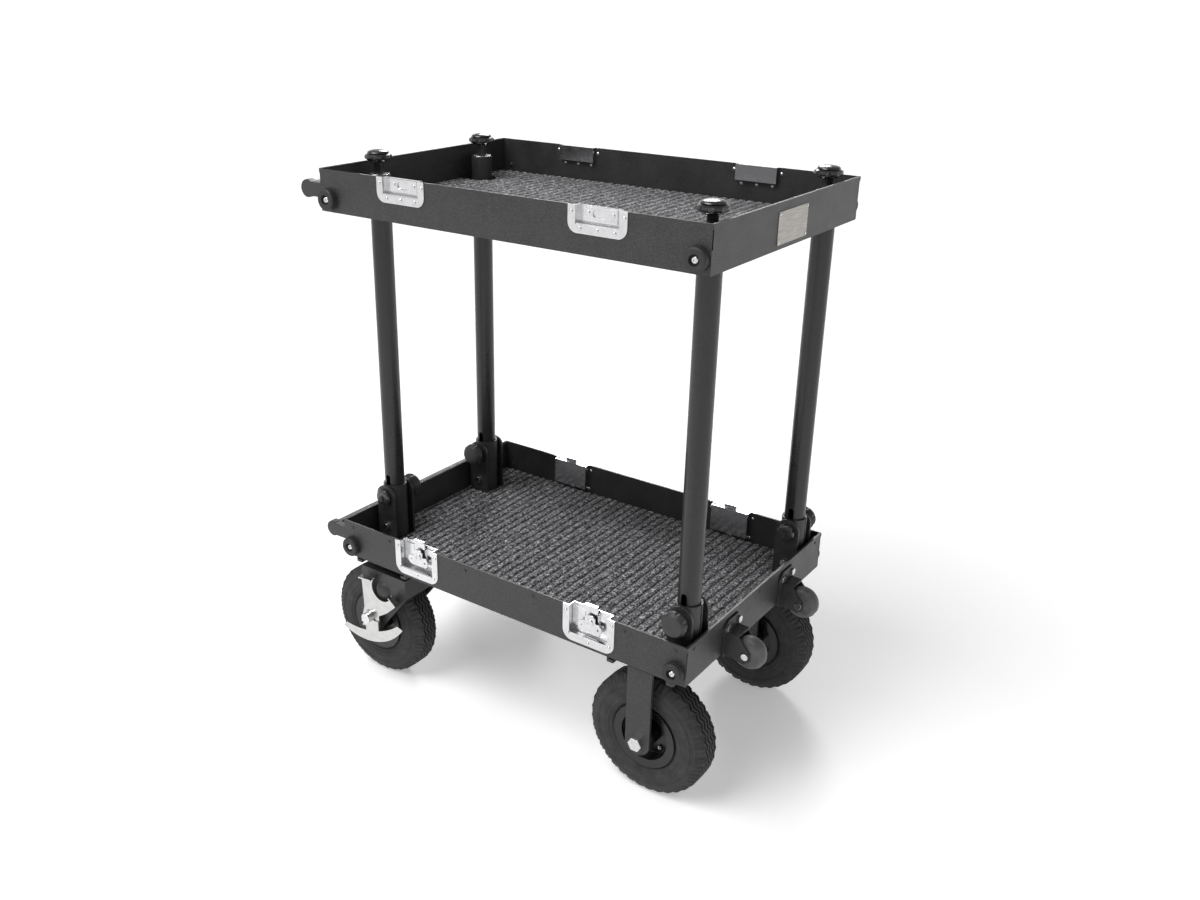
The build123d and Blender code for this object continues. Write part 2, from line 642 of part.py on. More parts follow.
def brake_pivot(x):
    """Where the brake lever turns on the fork's outer leg: (x, z)."""
    return x - BRAKE_BACK, TYRE_D / 2 + BRAKE_RISE


def swivel_bolts(x, y):
    """A swivel caster's axle bolt and the shoulder bolt of its brake."""
    outer = LEG_GAP / 2 + LEG_T
    bx, bz = brake_pivot(x)
    face = y - outer - BRAKE_STANDOFF
    head = face - 2 * BRAKE_T - 0.6
    brake = rod_y(BRAKE_BOLT_R, bx, bz, (head - 1, face))
    brake += rod_y(BRAKE_HEAD_R, bx, bz, (head - BRAKE_HEAD_H, head))
    return group([axle_bolt(x - TRAIL, y), brake])


def axle_bolt(x, y):
    outer = LEG_GAP / 2 + LEG_T
    z = TYRE_D / 2
    shape = rod_y(AXLE_R, x, z, (y - outer - 1, y + outer + 1))
    for side in (-1, 1):
        shape += hexagon_y(24.0, x, z, sorted((y + side * outer, y + side * (outer + AXLE_HEAD))))
    return shape


def crescent():
    """The rocker pedal's outline about the middle of its chord."""
    lower = ThreePointArc((-89, 0), (0, -32), (89, 0))
    upper = ThreePointArc((76, 8), (0, -8), (-76, 8))
    return make_face([lower, Line((89, 0), (76, 8)), upper, Line((-76, 8), (-89, 0))])


def brake_lever(x, y):
    """The forked foot lever and its rocker pedal, flat plates outside the fork's leg."""
    bx, bz = brake_pivot(x)
    face = y - LEG_GAP / 2 - LEG_T - BRAKE_STANDOFF
    bore = BRAKE_BOLT_R + RUN
    yoke = make_face(Polyline((-17, 92), (23, 96), (65, 72), (85, 56), (51, 25), (27, 9),
                              (27, -18), (-25, -20), (-13, 20), (-14, 44), close=True))
    yoke -= Pos(39, 76) * Circle(27)
    yoke = yoke + Circle(14) - Circle(bore)
    plate = slab_xz(Pos(bx, bz) * yoke, (face - BRAKE_T, face))
    for px, pz, length, lean in ((1, 92, 33, 6), (75, 62, 23, -38)):
        tab = Pos(px, pz) * Rot(0, 0, lean) * Rectangle(length, BRAKE_T)
        plate += slab_xz(Pos(bx, bz) * tab, (face - BRAKE_LIFT, face))
    rocker = Pos(10, -22) * Rot(0, 0, 15.6) * crescent() + Pos(9, -22) * Rectangle(36, 36) + Circle(14)
    rocker -= Circle(bore)
    top = face - BRAKE_T - 0.2
    pedal = slab_xz(Pos(bx, bz) * rocker, (top - BRAKE_T, top))
    return group([plate, pedal])


# ---- wheels ----
def rim(x, y):
    """A pressed rim with flanges, a recessed disc and a long hub."""
    bead, flange, half = BEAD_D / 2, RIM_D / 2, TYRE_W / 2
    hub, bore, reach = HUB_D / 2, AXLE_R + RUN, LEG_GAP / 2 - 2
    wall = 3.0
    shell = [(bead, -half + 8), (bead + 2, -half + 7), (flange, -half + 6), (flange, -half + 3),
             (bead - wall, -half + 4), (bead - wall, -4), (hub, -3), (hub, -half + 2), (hub - 6, -reach),
             (bore, -reach), (bore, reach), (hub - 6, reach), (hub, half - 2), (hub, 3), (bead - wall, 4),
             (bead - wall, half - 4), (flange, half - 3), (flange, half - 6), (bead + 2, half - 7),
             (bead, half - 8)]
    return Pos(x, y, TYRE_D / 2) * spin_y(shell)


def tyre(x, y):
    """A pneumatic tyre with rounded shoulders and four grooves round its tread."""
    bead, half, outer = BEAD_D / 2 + 0.2, TYRE_W / 2, TYRE_D / 2
    lip = RIM_D / 2 + 3
    face = outer - 1.5
    side = [(bead, -half + 9), (lip, -half + 7.5), (lip + 6, -half + 3), (outer - 38, -half + 0.3),
            (outer - 28, -half), (outer - 17, -half + 3), (outer - 8, -half + 9), (face, -half + 16)]
    tread = []
    for groove in (-13.5, -4.5, 4.5, 13.5):
        tread += [(outer, groove - 2.6), (outer - 4, groove - 1.4)]
        tread += [(outer - 4, groove + 1.4), (outer, groove + 2.6)]
    other = [(r, -s) for r, s in reversed(side)]
    return Pos(x, y, TYRE_D / 2) * spin_y(side + tread + other)


# ---- tilt rollers ----
def tilt_bolt_ys():
    return [yc + side * TILT_BOLT_GAP / 2 for yc in (-TILT_Y, TILT_Y) for side in (-1, 1)]


def tilt_bracket(y):
    """A wall plate with a sloping hood and two cheeks that hold the roller."""
    wall = LENGTH / 2
    ax, az = wall + TILT_OUT, LOWER_Z + TILT_Z
    half = TILT_W / 2 + 2.0
    top = LOWER_Z + 64
    face = Pos(y, top - 34) * Rectangle(62, 68)
    face = chamfer(face.vertices().filter_by(lambda v: v.Y > top - 10), 12)
    plane = Plane(origin=(wall, 0, 0), x_dir=(0, 1, 0), z_dir=(1, 0, 0))
    shape = extrude(plane * face, 4)
    hood = make_face(Polyline((wall + 2, LOWER_Z + 42), (wall + 26, LOWER_Z + 40),
                              (wall + 26, LOWER_Z + 36.5), (wall + 2, LOWER_Z + 38), close=True))
    shape += slab_xz(hood, (y - half - CHEEK_T, y + half + CHEEK_T))
    cheek = make_face(Polyline((wall, LOWER_Z + 42), (wall + 24, LOWER_Z + 38), (ax + 8, az + 6),
                               (ax + 8, az - 9), (ax - 2, az - 16), (wall, LOWER_Z - 6), close=True))
    cheek -= Pos(ax, az) * Circle(TILT_AXLE_R + RUN)
    for side in (-1, 1):
        ys = sorted((y + side * half, y + side * (half + CHEEK_T)))
        shape += slab_xz(cheek, ys)
    for side in (-1, 1):
        yb, zb = y + side * TILT_BOLT_GAP / 2, LOWER_Z + TILT_BOLT_Z
        shape -= rod_x(TILT_BOLT_R + RUN, yb, zb, (wall - 1, wall + 9))
    return shape


def tilt_bolts(y):
    """Two wall bolts and the roller's axle bolt."""
    wall = LENGTH / 2
    solids = []
    for side in (-1, 1):
        yb = y + side * TILT_BOLT_GAP / 2
        bolt = rod_x(TILT_BOLT_R, yb, LOWER_Z + TILT_BOLT_Z, (wall - SHEET - 3, wall + 4.5))
        solids.append(bolt + rod_x(6.5, yb, LOWER_Z + TILT_BOLT_Z, (wall + 4, wall + 8)))
    half = TILT_W / 2 + 2.0 + CHEEK_T
    ax, az = wall + TILT_OUT, LOWER_Z + TILT_Z
    axle = rod_y(TILT_AXLE_R, ax, az, (y - half - 0.5, y + half + 0.5))
    for side in (-1, 1):
        axle += rod_y(6.5, ax, az, sorted((y + side * half, y + side * (half + 3.5))))
    return solids + [axle]


def tilt_wheel(y):
    """A roller with a crowned tread."""
    r, half = TILT_D / 2, TILT_W / 2 + 1.5
    bore = TILT_AXLE_R + RUN
    points = [(bore, -half), (r - 20, -half), (r - 17, -half + 1.5), (r - 8, -half + 2), (r - 2.5, -half + 6),
              (r, -4), (r, 4), (r - 2.5, half - 6), (r - 8, half - 2), (r - 17, half - 1.5), (r - 20, half),
              (bore, half)]
    return Pos(LENGTH / 2 + TILT_OUT, y, LOWER_Z + TILT_Z) * spin_y(points)


# ---- nameplate ----
def nameplate():
    z0 = UPPER_Z + PLATE_LABEL_Z
    plate = block((LENGTH / 2, LENGTH / 2 + 1.0), (-PLATE_LABEL_L / 2, PLATE_LABEL_L / 2),
                  (z0, z0 + PLATE_LABEL_H))
    for y, z in label_rivet_spots():
        plate -= rod_x(RIVET_R / 2 + RIVET_GAP, y, z, (LENGTH / 2 - 1, LENGTH / 2 + 2))
    return plate


def label_rivets():
    pins = []
    wall = LENGTH / 2
    for y, z in label_rivet_spots():
        shank = rod_x(RIVET_R / 2, y, z, (wall - SHEET, wall + 1.5))
        pins.append(shank + rod_x(2.2, y, z, (wall + 1, wall + 1.9)))
    return pins


# ---- write every node ----
def build_lower():
    save("lower_tray", lower_tray())
    rivets = [Pos(x, y, z) * TURNS[side] * rivet(SHEET) for x, y, z, side in lower_wall_rivets()]
    save("lower_wall_rivets", group(rivets))
    wide, deep = EAR_W / 2 + FOOT_MARGIN, EAR_OUT + FOOT_MARGIN
    feet = [block((x - wide, x + wide), (y - deep, y + deep), (LOWER_Z, UPPER_Z)) for x, y in POSTS]
    save("lower_carpet", carpet(LOWER_Z, feet))
    save("lower_bumpers", group(at_bumpers(bumper(), LOWER_Z)))
    save("lower_handle", handle(LOWER_Z))
    save("latch_dishes", group(at_latches(dish(LATCH_DISH_H, PAN_DEPTH), LOWER_Z)))
    save("latch_bases", group(at_latches(latch_base(), LOWER_Z)))
    rivets = [item for one in dish_rivets(LATCH_DISH_H) for item in at_latches(one, LOWER_Z)]
    save("latch_rivets", group(rivets))
    grips, hooks = at_latches(latch_handle(), LOWER_Z), at_latches(latch_hook(), LOWER_Z)
    for name, grip, hook in zip(LATCH_NAMES, grips, hooks):
        save(f"latch_handle_{name}", grip)
        save(f"latch_hook_{name}", hook)


def build_posts():
    save("posts", group([post(x, y) for x, y in POSTS]))
    save("post_collars", group([collar(x, y) for x, y in POSTS]))
    save("post_brackets", group([bracket(x, y) for x, y in POSTS]))
    save("star_nuts", group([star_nut(x, y, side) for (x, y), side in zip(POSTS, KNOB_SIDE)]))
    for name, (x, y), side in zip(POST_NAMES, POSTS, KNOB_SIDE):
        save(f"clamp_knob_{name}", clamp_knob(x, y, side))
        save(f"top_knob_{name}", top_knob(x, y))


def build_upper():
    save("upper_tray", upper_tray())
    save("upper_carpet", carpet(UPPER_Z, [cup_notch(x, y) for x, y in POSTS]))
    save("upper_bumpers", group(at_bumpers(bumper(), UPPER_Z)))
    save("upper_bumper_screws", group(at_bumpers(bumper_screw(), UPPER_Z)))
    save("upper_handle", handle(UPPER_Z))
    save("catch_dishes", group(at_latches(dish(CATCH_DISH_H, CATCH_DEPTH), UPPER_Z)))
    save("catch_plates", group(at_latches(catch_plate(), UPPER_Z)))
    rivets = [item for one in dish_rivets(CATCH_DISH_H) for item in at_latches(one, UPPER_Z)]
    save("upper_rivets", group(rivets + label_rivets()))
    save("post_cups", group([cup(x, y) for x, y in POSTS]))
    save("cup_washers", group([cup_washer(x, y) for x, y in POSTS]))
    save("nameplate", nameplate())


def build_casters():
    save("caster_rails", caster_rails())
    save("rigid_forks", group([rigid_fork(WHEEL_X, side * WHEEL_Y) for side in (-1, 1)]))
    save("swivel_plates", group([swivel_plate(-WHEEL_X, side * WHEEL_Y) for side in (-1, 1)]))
    front = {"swivel_fork": swivel_fork(-WHEEL_X, -WHEEL_Y), "swivel_bolts": swivel_bolts(-WHEEL_X, -WHEEL_Y),
             "brake_lever": brake_lever(-WHEEL_X, -WHEEL_Y)}
    for name, shape in front.items():
        save(f"{name}_front", shape)
        save(f"{name}_rear", mirror_y(shape))
    places = {"front_left": (-WHEEL_X - TRAIL, -WHEEL_Y), "rear_left": (-WHEEL_X - TRAIL, WHEEL_Y),
              "front_right": (WHEEL_X, -WHEEL_Y), "rear_right": (WHEEL_X, WHEEL_Y)}
    for name, (x, y) in places.items():
        save(f"rim_{name}", rim(x, y))
        save(f"tyre_{name}", tyre(x, y))


def build_lower_bolts():
    """Bright screws and bolts fixed to the lower tray and what hangs from it."""
    bolts = at_bumpers(bumper_screw(), LOWER_Z)
    for x, y in POSTS:
        bolts += pivot_bolt(x, y)
    for side in (-1, 1):
        bolts += tilt_bolts(side * TILT_Y)
        bolts.append(axle_bolt(WHEEL_X, side * WHEEL_Y))
    save("lower_bolts", group(bolts))


def build_tilt_rollers():
    save("tilt_brackets", group([tilt_bracket(side * TILT_Y) for side in (-1, 1)]))
    save("tilt_wheel_front", tilt_wheel(-TILT_Y))
    save("tilt_wheel_rear", tilt_wheel(TILT_Y))


os.makedirs("parts", exist_ok=True)
build_lower()
build_posts()
build_upper()
build_casters()
build_tilt_rollers()
build_lower_bolts()
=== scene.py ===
import json
import math

import bpy
from mathutils import Matrix, Vector, noise


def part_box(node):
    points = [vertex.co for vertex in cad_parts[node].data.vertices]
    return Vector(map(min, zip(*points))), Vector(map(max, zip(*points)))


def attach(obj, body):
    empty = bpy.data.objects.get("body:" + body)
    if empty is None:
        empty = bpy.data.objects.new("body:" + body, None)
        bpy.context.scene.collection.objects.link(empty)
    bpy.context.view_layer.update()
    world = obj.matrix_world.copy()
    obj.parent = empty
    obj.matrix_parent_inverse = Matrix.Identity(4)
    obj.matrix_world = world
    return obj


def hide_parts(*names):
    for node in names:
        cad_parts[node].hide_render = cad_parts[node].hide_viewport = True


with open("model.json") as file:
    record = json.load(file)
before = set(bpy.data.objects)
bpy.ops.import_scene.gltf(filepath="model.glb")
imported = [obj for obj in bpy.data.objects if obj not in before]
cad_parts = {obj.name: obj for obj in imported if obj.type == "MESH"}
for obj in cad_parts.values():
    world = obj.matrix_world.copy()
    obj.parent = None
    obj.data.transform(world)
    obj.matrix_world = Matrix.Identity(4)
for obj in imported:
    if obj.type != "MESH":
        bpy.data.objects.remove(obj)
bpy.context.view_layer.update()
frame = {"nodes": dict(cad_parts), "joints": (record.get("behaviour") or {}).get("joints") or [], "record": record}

# ---- sizes, in metres ----
POSTS = {j["name"][10:]: Vector(j["pos_m"]) for j in frame["joints"] if j["name"].startswith("knob_turn_")}
WHEELS = {j["name"][11:]: Vector(j["pos_m"]) for j in frame["joints"] if j["name"].startswith("wheel_spin_")}
RIB_PITCH = 0.0185        # one rib of the floor mats
RIB_STEPS = 12            # mesh columns in each rib
MAT_STEP = 0.0036         # mesh rows along the ribs
GROOVE_DEPTH = 0.0042
PILE = 0.0011             # unevenness of the pile
BRACKET_CUT = (0.026, 0.0313)     # half sizes of the mat's cut-outs round the brackets
CUP_CUT = 0.030           # radius of the mat's notches round the cups
TREAD_WAVES = 36          # zigzags round a tyre
TREAD_SWING = 0.0030
TREAD_DEPTH = 0.0058
LUG_DEPTH = 0.0028        # depth of the cuts between the shoulder lugs
BEAD = 0.0505             # radii of a tyre's bead and of its rim's lip
LIP = 0.0655
RIM_FACE = 0.0038         # from a wheel's middle plane to its bolts' seats
VALVE_AT = (0.0415, 0.0040, 0.012)        # valve's foot from the hub: along, outward, up
RIB_WANDER = 0.0022       # how far a mat's ribs stray from straight
WALL = 0.003              # thickness of the trays' walls
RIVET_REACH = 0.010       # a rivet's points lie within this of each other
KNOB_CROWN = 0.78         # share of a top knob's width under its crown
CROWN_RISE = 0.0055
CORNER = 50               # degrees over which an edge is left sharp
BEVEL_FROM = 38           # degrees over which an edge is bevelled
MELD = 0.00002            # corners nearer than this are one
FLOOR_REACH = 400.0
EYE = (1.1603, -1.6861, 1.3757)
EYE_TURNS = (36.116, 22.721, 0.441)       # azimuth, elevation and roll, in degrees
LENS = 34.02
LENS_SHIFT = 0.0391
SHOULDER_LUGS = 72
TURN_STEPS = 288          # mesh columns round a tyre
RIM_BOLTS = 5
RIM_BOLT_CIRCLE = 0.0365


# ---- node helpers ----
def add(tree, kind, values=None, **settings):
    """A shader node with its settings, its input values and its incoming links."""
    node = tree.nodes.new(kind)
    for key, value in settings.items():
        setattr(node, key, value)
    for key, value in (values or {}).items():
        if isinstance(value, bpy.types.NodeSocket):
            tree.links.new(value, node.inputs[key])
        else:
            node.inputs[key].default_value = value
    return node


def material(name, roughness=0.5, metallic=0.0, **values):
    """A new material: (material, its tree, its principled shader)."""
    made = bpy.data.materials.new(name)
    made.use_nodes = True
    tree = made.node_tree
    shader = tree.nodes["Principled BSDF"]
    shader.inputs["Roughness"].default_value = roughness
    shader.inputs["Metallic"].default_value = metallic
    for key, value in values.items():
        shader.inputs[key.replace("_", " ")].default_value = value
    return made, tree, shader


def place(tree, stretch=(1, 1, 1)):
    where = add(tree, "ShaderNodeTexCoord").outputs["Object"]
    return add(tree, "ShaderNodeMapping", {"Vector": where, "Scale": stretch}).outputs[0]


def grain(tree, size, detail=2.0, stretch=(1, 1, 1), rough=0.5):
    """Noise whose features are about that size in metres."""
    values = {"Vector": place(tree, stretch), "Scale": 1 / size, "Detail": detail, "Roughness": rough}
    return add(tree, "ShaderNodeTexNoise", values).outputs["Fac"]


def ramp(tree, fac, stops):
    """A colour ramp through (place, grey or colour) stops."""
    node = add(tree, "ShaderNodeValToRGB", {"Fac": fac})
    points = node.color_ramp.elements
    while len(points) < len(stops):
        points.new(0.5)
    for point, (where, colour) in zip(points, stops):
        point.position = where
        point.color = (*((colour,) * 3 if isinstance(colour, float) else colour), 1)
    return node.outputs["Color"]


def spread(tree, fac, low, high):
    """Fac, from 0.3 to 0.7, spread over low to high."""
    values = {"Value": fac, "From Min": 0.3, "From Max": 0.7, "To Min": low, "To Max": high}
    return add(tree, "ShaderNodeMapRange", values).outputs["Result"]


def bump(tree, shader, height, strength, depth):
    values = {"Height": height, "Strength": strength, "Distance": depth}
    made = add(tree, "ShaderNodeBump", values).outputs["Normal"]
    tree.links.new(made, shader.inputs["Normal"])


def mix(tree, fac, one, two, kind="MIX"):
    node = add(tree, "ShaderNodeMix", data_type="RGBA", blend_type=kind)
    for key, value in (("Factor", fac), ("A", one), ("B", two)):
        socket = next(s for s in node.inputs if s.name == key and s.type in ("RGBA", "VALUE")
                      and (key == "Factor") == (s.type == "VALUE"))
        if isinstance(value, bpy.types.NodeSocket):
            tree.links.new(value, socket)
        else:
            socket.default_value = value
    return next(s for s in node.outputs if s.type == "RGBA")


# ---- materials ----
def coat(name, dark, light, roughness, texture, depth, specular=0.5):
    """Black powder coat: fine pebbled texture, faint mottling and uneven gloss."""
    made, tree, shader = material(name, Specular_IOR_Level=specular)
    mottle = grain(tree, 0.035, 5.0)
    fine = grain(tree, texture, 2.0)
    base = ramp(tree, mottle, [(0.35, dark), (0.65, light)])
    speck = ramp(tree, fine, [(0.50, 0.0), (0.66, 0.6)])
    colour = mix(tree, speck, base, tuple(min(1, 3.4 * light) for _ in range(3)) + (1,))
    tree.links.new(colour, shader.inputs["Base Color"])
    tree.links.new(spread(tree, mottle, roughness - 0.05, roughness + 0.06), shader.inputs["Roughness"])
    bump(tree, shader, fine, 0.9, depth)
    return made


def bright_metal(name, tone, roughness, smear, depth):
    """Plated metal: brushed a little, with cloudy patches and small pits."""
    made, tree, shader = material(name, metallic=1.0)
    cloud = grain(tree, 0.012, 6.0)
    lines = grain(tree, 0.0011, 3.0, smear)
    dark = tuple(0.90 * t for t in tone)
    colour = ramp(tree, cloud, [(0.30, dark), (0.60, tone)])
    tree.links.new(colour, shader.inputs["Base Color"])
    tree.links.new(spread(tree, cloud, roughness + 0.05, roughness - 0.04), shader.inputs["Roughness"])
    bump(tree, shader, lines, 0.2, depth)
    return made


def moulded(name, tone, roughness, texture, depth, coat_weight=0.0):
    """Moulded plastic or rubber: pebbled skin and a slightly dusty bloom."""
    made, tree, shader = material(name, Coat_Weight=coat_weight, Coat_Roughness=0.18)
    bloom = grain(tree, 0.018, 5.0)
    skin = grain(tree, texture, 3.0)
    dark, light = (tuple(share * t for t in tone) for share in (0.75, 1.5))
    colour = ramp(tree, bloom, [(0.30, dark), (0.72, light)])
    tree.links.new(colour, shader.inputs["Base Color"])
    tree.links.new(spread(tree, bloom, roughness - 0.06, roughness + 0.08), shader.inputs["Roughness"])
    bump(tree, shader, skin, 0.45, depth)
    return made


def tyre_rubber():
    """Tyre rubber: grey-black, with dustier patches at random and a fine skin."""
    made, tree, shader = material("tyre_rubber", Specular_IOR_Level=0.35)
    dust = grain(tree, 0.02, 6.0)
    skin = grain(tree, 0.0012, 3.0)
    colour = ramp(tree, dust, [(0.30, (0.020, 0.020, 0.021)), (0.62, (0.042, 0.042, 0.043)),
                               (0.85, (0.085, 0.083, 0.080))])
    tree.links.new(colour, shader.inputs["Base Color"])
    tree.links.new(spread(tree, dust, 0.62, 0.82), shader.inputs["Roughness"])
    bump(tree, shader, skin, 0.5, 0.0006)
    return made


def ribbed_felt(name, top):
    """Charcoal heather felt: grey ribs and scattered light fibres, with painted shade darkening the grooves."""
    made, tree, shader = material(name, roughness=0.95, Specular_IOR_Level=0.15, Sheen_Weight=0.35,
                                  Sheen_Roughness=0.5)
    fibres = grain(tree, 0.0034, 3.0, (1, 0.6, 1), 0.8)
    heather = grain(tree, 0.009, 3.0)
    base = ramp(tree, fibres, [(0.40, (0.014, 0.014, 0.016)), (0.47, (0.055, 0.055, 0.060)),
                               (0.52, (0.17, 0.17, 0.18)), (0.58, (0.46, 0.46, 0.48)),
                               (0.66, (0.90, 0.90, 0.92))])
    shade = ramp(tree, heather, [(0.36, 0.40), (0.62, 1.0)])
    colour = mix(tree, 1.0, base, shade, "MULTIPLY")
    # painted shade: the colour is darkened towards the bottom of each groove, to 4% at its floor, over the real
    # shade of the ribbed mesh
    height = add(tree, "ShaderNodeSeparateXYZ", {"Vector": place(tree)}).outputs["Z"]
    depth = add(tree, "ShaderNodeMapRange", {"Value": height, "From Min": top - GROOVE_DEPTH,
                                             "From Max": top - 0.0008, "To Min": 0.04,
                                             "To Max": 1.0}).outputs["Result"]
    colour = mix(tree, 1.0, colour, depth, "MULTIPLY")
    tree.links.new(colour, shader.inputs["Base Color"])
    bump(tree, shader, fibres, 0.9, 0.0012)
    return made


def brushed_plate():
    made, tree, shader = material("plate_label", roughness=0.34, metallic=1.0)
    lines = grain(tree, 0.0007, 4.0, (1, 0.02, 1))
    cloud = grain(tree, 0.02, 3.0)
    colour = ramp(tree, lines, [(0.35, (0.27, 0.25, 0.235)), (0.65, (0.44, 0.42, 0.39))])
    tree.links.new(colour, shader.inputs["Base Color"])
    tree.links.new(spread(tree, cloud, 0.28, 0.42), shader.inputs["Roughness"])
    bump(tree, shader, lines, 0.25, 0.0002)
    return made


def pale_floor():
    made, tree, shader = material("pale_floor", roughness=0.9, Specular_IOR_Level=0.0)
    tone = ramp(tree, grain(tree, 0.4, 2.0), [(0.3, 0.93), (0.7, 0.95)])
    tree.links.new(tone, shader.inputs["Base Color"])
    shader.inputs["Emission Color"].default_value = (1, 1, 1, 1)
    shader.inputs["Emission Strength"].default_value = 0.30
    return made


LOOKS = {
    "black_coat": coat("black_coat", 0.014, 0.022, 0.42, 0.0014, 0.00035),
    "black_rivet": coat("black_rivet", 0.012, 0.018, 0.40, 0.0008, 0.0001),
    "satin_tube": coat("satin_tube", 0.006, 0.010, 0.30, 0.0008, 0.00012),
    "zinc": bright_metal("zinc", (0.69, 0.69, 0.70), 0.19, (1, 1, 0.15), 0.00012),
    "polished": bright_metal("polished", (0.58, 0.58, 0.57), 0.20, (1, 1, 1), 0.00010),
    "bumper_rubber": moulded("bumper_rubber", (0.018, 0.018, 0.019), 0.60, 0.0012, 0.0003),
    "tyre_rubber": tyre_rubber(),
    # wheel rims: gloss black, made darker still as painted shade for the rim's recess
    "rim_coat": coat("rim_coat", 0.003, 0.006, 0.26, 0.0020, 0.0001),
    "knob_plastic": moulded("knob_plastic", (0.022, 0.022, 0.023), 0.44, 0.0009, 0.0002),
    "gloss_plastic": moulded("gloss_plastic", (0.022, 0.022, 0.023), 0.24, 0.0030, 0.0001, 0.6),
    "roller_grey": moulded("roller_grey", (0.075, 0.075, 0.078), 0.48, 0.0012, 0.0002),
    "plate_label": brushed_plate(),
}
SPECIAL = {"posts": "satin_tube", "star_nuts": "gloss_plastic",
           **{"top_knob_" + corner: "gloss_plastic" for corner in POSTS}}
SQUARE = ("upper_tray", "lower_tray")     # sheet metal with square cut edges
EDGES = {"black_coat": 0.0011, "zinc": 0.00035, "polished": 0.0007, "knob_plastic": 0.0009,
         "roller_grey": 0.0008, "rim_coat": 0.0006, "bumper_rubber": 0.0008}
OTHER_EDGES = 0.0003


# ---- CAD pieces: finish and softened edges ----
def corner_group():
    """Nodes that mark the corners left after a bevel as sharp."""
    tree = bpy.data.node_groups.new("corners", "GeometryNodeTree")
    tree.interface.new_socket("Geometry", in_out="INPUT", socket_type="NodeSocketGeometry")
    tree.interface.new_socket("Geometry", in_out="OUTPUT", socket_type="NodeSocketGeometry")
    start = add(tree, "NodeGroupInput").outputs[0]
    angle = add(tree, "GeometryNodeInputMeshEdgeAngle").outputs["Unsigned Angle"]
    wide = add(tree, "FunctionNodeCompare", {0: angle, 1: math.radians(CORNER)}, operation="GREATER_THAN")
    shaded = add(tree, "GeometryNodeSetShadeSmooth", {"Geometry": start, "Selection": wide.outputs[0],
                                                      "Shade Smooth": False}, domain="EDGE")
    tree.links.new(shaded.outputs[0], add(tree, "NodeGroupOutput").inputs[0])
    return tree


CORNERS = corner_group()


def soften(piece, width):
    """Rounds a piece's edges, save on cut sheet metal, and keeps its flat walls flat."""
    imported = piece.data.attributes.get("custom_normal")
    if imported:
        piece.data.attributes.remove(imported)
    weld = piece.modifiers.new("weld", "WELD")
    weld.merge_threshold = MELD
    panels = piece.modifiers.new("panels", "DECIMATE")
    panels.decimate_type = "DISSOLVE"
    panels.angle_limit = math.radians(1)
    if piece.name not in SQUARE:
        edge = piece.modifiers.new("edge", "BEVEL")
        edge.width = width
        edge.segments = 2
        edge.limit_method = "ANGLE"
        edge.angle_limit = math.radians(BEVEL_FROM)
    corners = piece.modifiers.new("corners", "NODES")
    corners.node_group = CORNERS
    flat = piece.modifiers.new("flat", "WEIGHTED_NORMAL")
    flat.keep_sharp = True


def dress(piece, look):
    piece.data.materials.clear()
    piece.data.materials.append(LOOKS[look])


def finish_cad():
    slots = {s["node"]: s["material_slot"] for s in frame["record"]["subparts"]}
    for name, piece in frame["nodes"].items():
        slot = slots[name]
        if slot == "carpet":
            continue
        dress(piece, SPECIAL.get(name, slot))
        for face in piece.data.polygons:
            face.use_smooth = True
        soften(piece, EDGES.get(slot, OTHER_EDGES))


# ---- mesh helpers ----
def mesh_piece(name, points, faces, look, body, sharp=40):
    data = bpy.data.meshes.new(name)
    data.from_pydata([tuple(p) for p in points], [], faces)
    data.validate()
    data.update()
    for face in data.polygons:
        face.use_smooth = True
    data.set_sharp_from_angle(angle=math.radians(sharp))
    piece = bpy.data.objects.new(name, data)
    bpy.context.scene.collection.objects.link(piece)
    data.materials.append(look)
    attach(piece, body)
    return piece


def ring_faces(columns, rows, closed=True):
    """Quads between columns of points that go round an axis."""
    faces = []
    for i in range(columns):
        after = (i + 1) % columns
        for k in range(rows if closed else rows - 1):
            up = (k + 1) % rows
            faces.append((i * rows + k, after * rows + k, after * rows + up, i * rows + up))
    return faces


# ---- floor mats ----
def rib_height(x):
    """Height of the ribbed face above its grooves, from 0 to 1, across the ribs."""
    phase = abs(2 * ((x / RIB_PITCH) % 1) - 1)
    return (1 - phase ** 3.4) ** 0.8


def lines_between(low, high, step, keep):
    """Evenly spaced lines that also pass through each value in keep."""
    count = max(1, round((high - low) / step))
    lines = [low + (high - low) * i / count for i in range(count + 1)]
    for value in keep:
        nearest = min(range(len(lines)), key=lambda i: abs(lines[i] - value))
        if low < value < high:
            lines[nearest] = value
    return sorted(set(lines))


